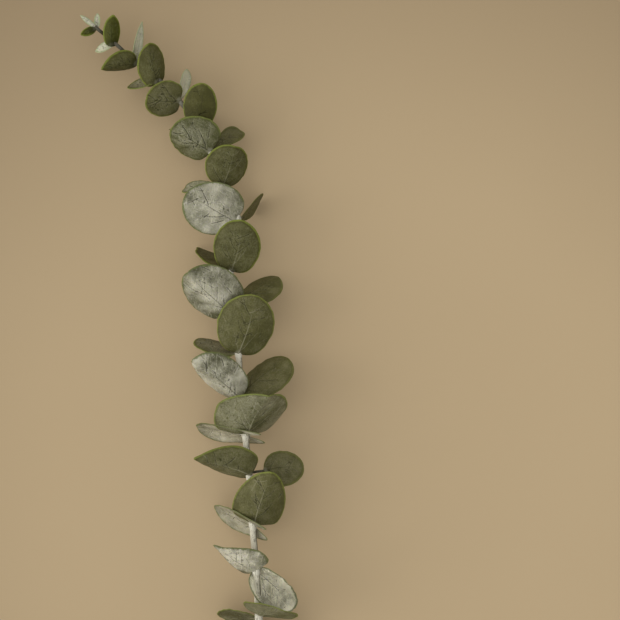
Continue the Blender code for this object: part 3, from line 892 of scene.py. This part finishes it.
def stalk_caps(rings):
    """Faces that close both ends of a stalk, each round its middle point."""
    last = (rings - 1) * STALK_SIDES
    middles = rings * STALK_SIDES
    faces = []
    for corner in range(STALK_SIDES):
        after = (corner + 1) % STALK_SIDES
        faces.append((middles, corner, after))
        faces.append((middles + 1, last + after, last + corner))
    return faces


def stalk_details(leaf, rings, radius, is_long):
    """Values at a stalk's vertices that its bark is coloured by."""
    count = rings * STALK_SIDES + 2
    ring_of = np.minimum(np.arange(count) // STALK_SIDES, rings - 1)
    angle = corner_angles(count, STALK_SIDES)
    dusky = 0.9 if is_long else tipwards(leaf.y)
    return {
        "round_x": np.cos(angle) * radius,
        "round_y": np.sin(angle) * radius,
        "travel": STALK_RING_STEP * ring_of + 3.0 * leaf.y,
        "collar": np.full(count, 0.1 if is_long else 0.8),
        "tipwards": np.full(count, dusky),
        "scar": np.zeros(count),
        # no painted shade on a stalk
        "shaded_side": np.zeros(count),
    }


def stalk_piece(name, leaf, path, material):
    """A stalk that runs from the stem's middle into the blade."""
    base = blade_base(leaf, path)
    stem = nearest_stem_point(path, base)
    inside = base + blade_point(leaf, STALK_END, 0.0, 1, 0.0)
    is_long = np.linalg.norm(base - stem[:3]) > LONG_STALK * stem[3]
    knots = [stem[:3], base, inside] if is_long else [stem[:3], inside]
    radius = min(STALK_RADIUS, STALK_SHARE * stem[3])
    knots = np.column_stack([knots, np.linspace(radius, STALK_TIP_RADIUS, len(knots))])
    centre = smooth_path(knots, STALK_RING_STEP)
    rings = tube_rings(centre[:, :3], centre[:, 3], STALK_SIDES)
    vertices = np.vstack([rings.reshape(-1, 3), centre[[0, -1], :3]])
    faces = tube_faces(len(rings), STALK_SIDES) + stalk_caps(len(rings))
    details = stalk_details(leaf, len(rings), radius, is_long)
    return mesh_object(name, vertices, faces, details, [material])


# Materials

class Nodes:
    """Short names for the shader nodes that the materials are made from."""

    def __init__(self, name):
        self.material = bpy.data.materials.new(name)
        self.material.use_nodes = True
        self.tree = self.material.node_tree

    def fill(self, node, inputs):
        """Links or sets these inputs of a node."""
        for key, value in inputs.items():
            if isinstance(value, bpy.types.NodeSocket):
                self.tree.links.new(value, node.inputs[key])
            else:
                node.inputs[key].default_value = value

    def add(self, kind, inputs, **settings):
        node = self.tree.nodes.new("ShaderNode" + kind)
        for key, value in settings.items():
            setattr(node, key, value)
        self.fill(node, inputs)
        return node

    def surface(self, inputs):
        """The finished material, with these inputs of its surface shader."""
        self.fill(self.tree.nodes["Principled BSDF"], inputs)
        return self.material

    def attribute(self, name):
        return self.add("Attribute", {}, attribute_name=name).outputs["Fac"]

    def place(self):
        return self.add("TexCoord", {}).outputs["Object"]

    def join(self, x, y, z):
        return self.add("CombineXYZ", {"X": x, "Y": y, "Z": z}).outputs[0]

    def math(self, operation, a, b=0.0, clamp=False):
        settings = {"operation": operation, "use_clamp": clamp}
        return self.add("Math", {0: a, 1: b}, **settings).outputs[0]

    def times(self, first, *others):
        for other in others:
            first = self.math("MULTIPLY", first, other)
        return first

    def plus(self, first, *others):
        for other in others:
            first = self.math("ADD", first, other)
        return first

    def about(self, value, size):
        """A 0 to 1 value moved to lie about zero and scaled."""
        return self.times(self.math("SUBTRACT", value, 0.5), size)

    def noise(self, place, scale, detail=3.0, rough=0.55):
        inputs = {"Vector": place, "Scale": scale, "Detail": detail, "Roughness": rough}
        return self.add("TexNoise", inputs).outputs["Fac"]

    def distance(self, place, centre):
        node = self.add("VectorMath", {0: place, 1: centre}, operation="DISTANCE")
        return node.outputs["Value"]

    def cracks(self, place, scale):
        inputs = {"Vector": place, "Scale": scale}
        node = self.add("TexVoronoi", inputs, feature="DISTANCE_TO_EDGE")
        return node.outputs["Distance"]

    def step(self, value, low, high, to_low=0.0, to_high=1.0):
        """A soft step from one value to another, where the first one goes from low to high."""
        inputs = {"Value": value, "From Min": low, "From Max": high}
        inputs |= {"To Min": to_low, "To Max": to_high}
        node = self.add("MapRange", inputs, interpolation_type="SMOOTHSTEP")
        return node.outputs["Result"]

    def mix(self, amount, first, second):
        colours = [(*c, 1.0) if isinstance(c, tuple) else c for c in (first, second)]
        inputs = dict(zip((0, 6, 7), (amount, *colours)))
        return self.add("Mix", inputs, data_type="RGBA").outputs[2]

    def bump(self, height, distance, strength=1.0):
        inputs = {"Height": height, "Distance": distance, "Strength": strength}
        return self.add("Bump", inputs).outputs["Normal"]


def shade(colour, factor):
    return tuple(factor * channel for channel in colour)


class LeafPattern:
    """Places, veins and marks on a blade, for its colour and its relief."""

    def __init__(self, n, look):
        self.n = n
        self.along = n.attribute("along")
        self.away = n.attribute("away")
        self.tone = n.attribute("tone")
        self.flat = n.join(self.along, self.away, n.times(self.tone, 60.0))
        # large patches, partly painted light and shade of the blade's curves
        self.clouds = n.noise(self.flat, 0.045, 2.0)
        self.patches = n.noise(self.flat, 0.13, 4.0, 0.6)
        self.fine = n.noise(self.flat, 1.1, 4.0, 0.7)
        self.part = n.attribute("part")
        self.grooves, self.banks, self.ridges = self.lines(0.50 - 0.15 * look.bloom)
        self.scratches = self.straight_rubs()
        bites = n.about(n.noise(n.place(), 320.0, 4.0, 0.65), -1.6 - 2.2 * look.bloom)
        self.rim = n.plus(n.attribute("rim"), bites)

    def lines(self, width):
        """Dark lines, the pale banks beside them, partly a painted highlight of their edges, and
        pale lines, broken here and there.
        """
        n = self.n
        waver = n.about(n.noise(self.flat, 0.28, 4.0, 0.6), 0.34)
        groove = n.plus(n.attribute("groove"), waver)
        ridge = n.plus(n.attribute("ridge"), waver)
        core = n.step(groove, width, 0.10)
        banks = n.math("SUBTRACT", n.step(groove, 1.5, 0.5), core, clamp=True)
        pale = n.step(ridge, 0.55, 0.15)
        return core, n.math("MAXIMUM", banks, pale), pale

    def midrib(self):
        """A line along the midrib that breaks up and ends towards the tip."""
        n = self.n
        width = n.plus(n.times(self.part, -0.32), 0.54)
        near = n.math("DIVIDE", n.math("ABSOLUTE", n.attribute("rib")), width)
        line = n.step(near, 1.0, 0.45)
        broken = n.step(n.noise(self.flat, 0.3, 3.0), 0.34, 0.5)
        steady = n.step(self.part, 0.85, 0.5)
        return n.times(line, n.math("MAXIMUM", broken, steady), n.step(self.part, 0.92, 0.7))

    def straight_rubs(self):
        """Fine straight rubs in two directions."""
        n = self.n
        along, away = self.along, self.away
        first = n.join(n.times(along, 0.16), n.times(away, 1.3), n.times(self.tone, 17.0))
        across = n.plus(n.times(along, 0.8), n.times(away, -0.55))
        lengthwise = n.times(n.plus(along, away), 0.1)
        second = n.join(across, lengthwise, n.times(self.tone, 23.0))
        rubs = [n.step(n.noise(place, 1.1, 2.0, 0.6), 0.56, 0.68) for place in (first, second)]
        return n.math("MAXIMUM", *rubs)

    def rubbed_spots(self):
        """Small places where the wax has come off, in a few clusters."""
        n = self.n
        grain = n.join(n.times(self.along, 0.55), self.away, n.times(self.tone, 41.0))
        spots = n.step(n.noise(grain, 0.62, 4.0, 0.68), 0.59, 0.65)
        clusters = n.step(n.noise(grain, 0.10, 1.0), 0.52, 0.58)
        return n.times(spots, clusters)


def leaf_bloom(n, pattern, look):
    """Pale wax, thin in patches and near the edge, scratched, and rubbed off in spots; its large
    patches and the pale banks of its grooves are partly painted light and shade.
    """
    cracks = n.step(n.cracks(pattern.flat, 0.55), 0.06, 0.015)
    bloom = n.plus(
        n.about(pattern.patches, 0.38 + 1.0 * look.bloom),
        # large patches of thicker and thinner wax, partly painted light and shade of the blade's
        # curves
        n.about(pattern.clouds, 4.6 * look.bloom),
        n.about(pattern.fine, 0.3 + 0.6 * look.bloom),
        n.about(pattern.tone, 0.14),
        # more wax on the pale ridges and on the banks beside the grooves, the banks partly a
        # painted highlight of the grooves' edges
        n.times(pattern.banks, 0.05 + 0.3 * look.bloom),
        n.times(pattern.scratches, 0.05 + 0.4 * look.bloom),
        n.times(cracks, -0.12),
        n.times(n.step(pattern.rim, 2.2, 0.4), -0.22),
        n.times(pattern.rubbed_spots(), -0.75),
        look.bloom,
    )
    return n.math("MINIMUM", n.math("MAXIMUM", bloom, 0.0), 1.0)


def waxed_green(n, pattern, look, bloom):
    """Mottled green under the wax, with dark grooves."""
    mottle = n.plus(n.times(pattern.patches, 0.6), n.times(pattern.fine, 0.4))
    mottle = n.step(mottle, 0.34, 0.66)
    green = n.mix(mottle, shade(look.green, 0.80), shade(look.green, 1.20))
    colour = n.mix(bloom, green, look.wax)
    return n.mix(n.times(pattern.grooves, look.veins), colour, shade(look.green, 0.45))


def with_midrib(n, pattern, look, colour):
    """Adds a dark midrib, or else a pale one that fades to the tip, with pale ridges."""
    midrib = pattern.midrib()
    if not look.pale_rib:
        strength = 0.15 + 0.7 * look.veins
        return n.mix(n.times(midrib, strength), colour, shade(look.green, 0.5))
    colour = n.mix(n.times(pattern.ridges, 0.35 * look.pale_rib), colour, PALE_LINE)
    fading = n.step(pattern.part, 0.0, 0.9, look.pale_rib, 0.4 * look.pale_rib)
    return n.mix(n.times(midrib, fading), colour, PALE_LINE)


def with_rim(n, pattern, look, colour):
    """Adds the thin coloured line along the edge."""
    rim_colour = n.mix(pattern.fine, shade(look.rim, 0.7), shade(look.rim, 1.3))
    return n.mix(n.times(n.step(pattern.rim, 1.0, 0.3), 0.85), colour, rim_colour)


def with_heel(n, pattern, look, colour):
    """Adds a pale spot where the blade starts, set in painted shade from the stem on leaves with
    little wax.
    """
    heel = n.plus(n.attribute("heel"), n.about(pattern.fine, 2.4))
    # Painted shade round the blade's base, where the stem shades it, on leaves with little wax
    stem_shade = 0.75 * max(0.0, 1.0 - 8 * look.bloom)
    colour = n.mix(n.times(n.step(heel, 6.0, 1.5), stem_shade), colour, shade(look.green, 0.4))
    whiteness = 0.1 + 0.85 * min(1.0, 2 * look.bloom)
    return n.mix(n.times(n.step(heel, 2.8, 1.2), whiteness), colour, PALE_HEEL)


def leaf_material(name, look):
    n = Nodes(name)
    pattern = LeafPattern(n, look)
    bloom = leaf_bloom(n, pattern, look)
    colour = waxed_green(n, pattern, look, bloom)
    for layer in (with_midrib, with_rim, with_heel):
        colour = layer(n, pattern, look, colour)
    height = n.plus(
        n.times(pattern.grooves, -1.0),
        n.times(pattern.banks, 0.35),
        n.times(pattern.fine, 0.5),
        n.times(pattern.scratches, 0.25),
        n.times(pattern.patches, 3.0 * look.bloom),
    )
    return n.surface({
        "Base Color": colour,
        "Roughness": n.step(bloom, 0.0, 1.0, 0.60, 0.48),
        "Specular IOR Level": 0.16 + 0.45 * look.bloom,
        "Subsurface Weight": 0.10,
        "Subsurface Scale": 0.002,
        "Subsurface Radius": (0.6, 0.8, 0.2),
        "Normal": n.bump(height, 0.00015 + 0.00025 * look.bloom),
    })


def bark_marks(n, wrinkles, specks, tipwards):
    """Strength and colour of each kind of mark and of painted shade, from the lowest layer to the
    top one.
    """
    def lessening(strength):
        return n.step(tipwards, 0.0, 1.0, strength, 0.1)

    # Painted shade on the stem's right side, which faces away from the light
    shaded_side = n.step(n.plus(n.attribute("shaded_side"), n.about(specks, 0.8)), 0.45, 0.95)
    collar = n.step(n.plus(n.attribute("collar"), n.about(specks, 1.2)), 0.4, 0.9)
    scar = n.step(n.attribute("scar"), 0.35, 0.85)
    return (
        # painted shade on the right side, weaker towards the tip
        (n.times(shaded_side, lessening(0.85)), (0.11, 0.098, 0.06)),
        (n.times(collar, lessening(0.8)), (0.76, 0.74, 0.63)),
        # painted shade in the low places of the wrinkles
        (n.times(n.step(wrinkles, 0.48, 0.38), lessening(0.65)), (0.13, 0.12, 0.075)),
        (n.times(n.step(specks, 0.62, 0.69), 0.8), (0.075, 0.062, 0.038)),
        (n.times(scar, 0.7), (0.16, 0.115, 0.07)),
    )


def stem_material():
    """Pale bark that turns dusky towards the growing tip, with painted shade on its right side and
    in its wrinkles.
    """
    n = Nodes("stem_bark")
    round_x, round_y, travel = (n.attribute(key) for key in ("round_x", "round_y", "travel"))
    grain = n.join(round_x, round_y, travel)
    wrinkles = n.noise(n.join(round_x, round_y, n.times(travel, 0.16)), 1.7, 4.0, 0.65)
    patches = n.noise(grain, 0.22, 4.0, 0.6)
    specks = n.noise(grain, 1.9, 3.0, 0.7)
    tipwards = n.attribute("tipwards")
    pale = n.mix(patches, (0.52, 0.49, 0.375), (0.86, 0.83, 0.70))
    dusky = n.mix(patches, (0.013, 0.011, 0.004), (0.046, 0.040, 0.020))
    dusky = n.mix(n.step(specks, 0.37, 0.31), dusky, (0.34, 0.32, 0.22))
    colour = n.mix(tipwards, pale, dusky)
    for strength, mark in bark_marks(n, wrinkles, specks, tipwards):
        colour = n.mix(strength, colour, mark)
    height = n.plus(n.times(wrinkles, 1.4), n.times(specks, -0.5))
    return n.surface({
        "Base Color": colour,
        "Roughness": n.step(patches, 0.3, 0.7, 0.6, 0.8),
        "Specular IOR Level": 0.05,
        "Normal": n.bump(height, 0.00035),
    })


def cut_material():
    n = Nodes("cut_wood")
    grain = n.noise(n.place(), 1500.0, 4.0, 0.6)
    return n.surface({
        "Base Color": n.mix(grain, (0.50, 0.42, 0.24), (0.70, 0.62, 0.42)),
        "Roughness": 0.8,
        "Normal": n.bump(grain, 0.0002, 0.6),
    })


def floor_material():
    n = Nodes("floor_paper")
    place = n.place()
    cloud = n.noise(place, 6.0, 2.0)
    grain = n.noise(place, 900.0, 3.0)
    colour = n.mix(cloud, (0.488, 0.372, 0.228), (0.512, 0.394, 0.244))
    # Painted pool of light: the floor is paler near its middle and darker away from it
    far = n.step(n.distance(place, LIGHT_POOL_CENTRE), *LIGHT_POOL_RANGE)
    colour = n.mix(far, colour, (0.300, 0.225, 0.137))
    return n.surface({
        "Base Color": colour,
        "Roughness": 0.95,
        "Specular IOR Level": 0.1,
        "Normal": n.bump(grain, 0.0001, 0.3),
    })


# Scene

def grow_branch():
    materials = {name: leaf_material(f"leaf_{name}", look) for name, look in LOOKS.items()}
    bark = stem_material()
    phases = np.random.default_rng(SEED)
    path = smooth_path(np.array(STEM), STEM_RING_STEP)
    for number, leaf in enumerate(LEAVES):
        phase = phases.uniform(0, 2 * math.pi)
        draw = np.random.default_rng((LOOK_SEED, number))
        place = "above" if leaf.side > 0 else "below"
        name = f"leaf_{number + 1:02d}_{place}"
        piece = blade_piece(name, leaf, path, phase, draw, materials[leaf.look])
        tone = piece.data.attributes.new("tone", "FLOAT", "POINT")
        tone.data.foreach_set("value", [draw.uniform()] * len(piece.data.vertices))
        dress(piece)
        if has_stalk(leaf, path):
            dress(stalk_piece(f"stalk_{number + 1:02d}", leaf, path, bark))
    dress(stem_piece(bark, cut_material()))


def lay_floor():
    mesh = bpy.data.meshes.new("floor")
    signs = ((-1, -1), (1, -1), (1, 1), (-1, 1))
    corners = [(x * FLOOR_REACH, y * FLOOR_REACH, -FLOOR_DROP) for x, y in signs]
    mesh.from_pydata(corners, [], [(0, 1, 2, 3)])
    mesh.materials.append(floor_material())
    floor = put_in_scene("floor", mesh)


def place_sun(name, direction, spread, strength):
    """A wide soft light from far away, so that it is equally strong everywhere."""
    light = bpy.data.lights.new(name, "SUN")
    light.energy = strength
    light.angle = math.radians(spread)
    light.color = SUN_COLOUR
    lamp = put_in_scene(name, light)
    lamp.rotation_euler = (-Vector(direction)).to_track_quat("-Z", "Y").to_euler()


def light_scene():
    world = bpy.data.worlds.new("studio")
    world.use_nodes = True
    background = world.node_tree.nodes["Background"]
    background.inputs["Color"].default_value = WORLD_COLOUR
    background.inputs["Strength"].default_value = WORLD_STRENGTH
    bpy.context.scene.world = world
    place_sun("key", *KEY_SUN)
    place_sun("side", *SIDE_SUN)


def place_camera():
    camera = bpy.data.cameras.new("camera")
    camera.lens = LENS
    camera.sensor_width = SENSOR
    view = put_in_scene("camera", camera)
    view.location = (CENTRE_SHIFT[0] * MM, CENTRE_SHIFT[1] * MM, CAMERA_HEIGHT)
    bpy.context.scene.camera = view
    bpy.context.scene.view_settings.view_transform = "Standard"


grow_branch()
lay_floor()
light_scene()
place_camera()
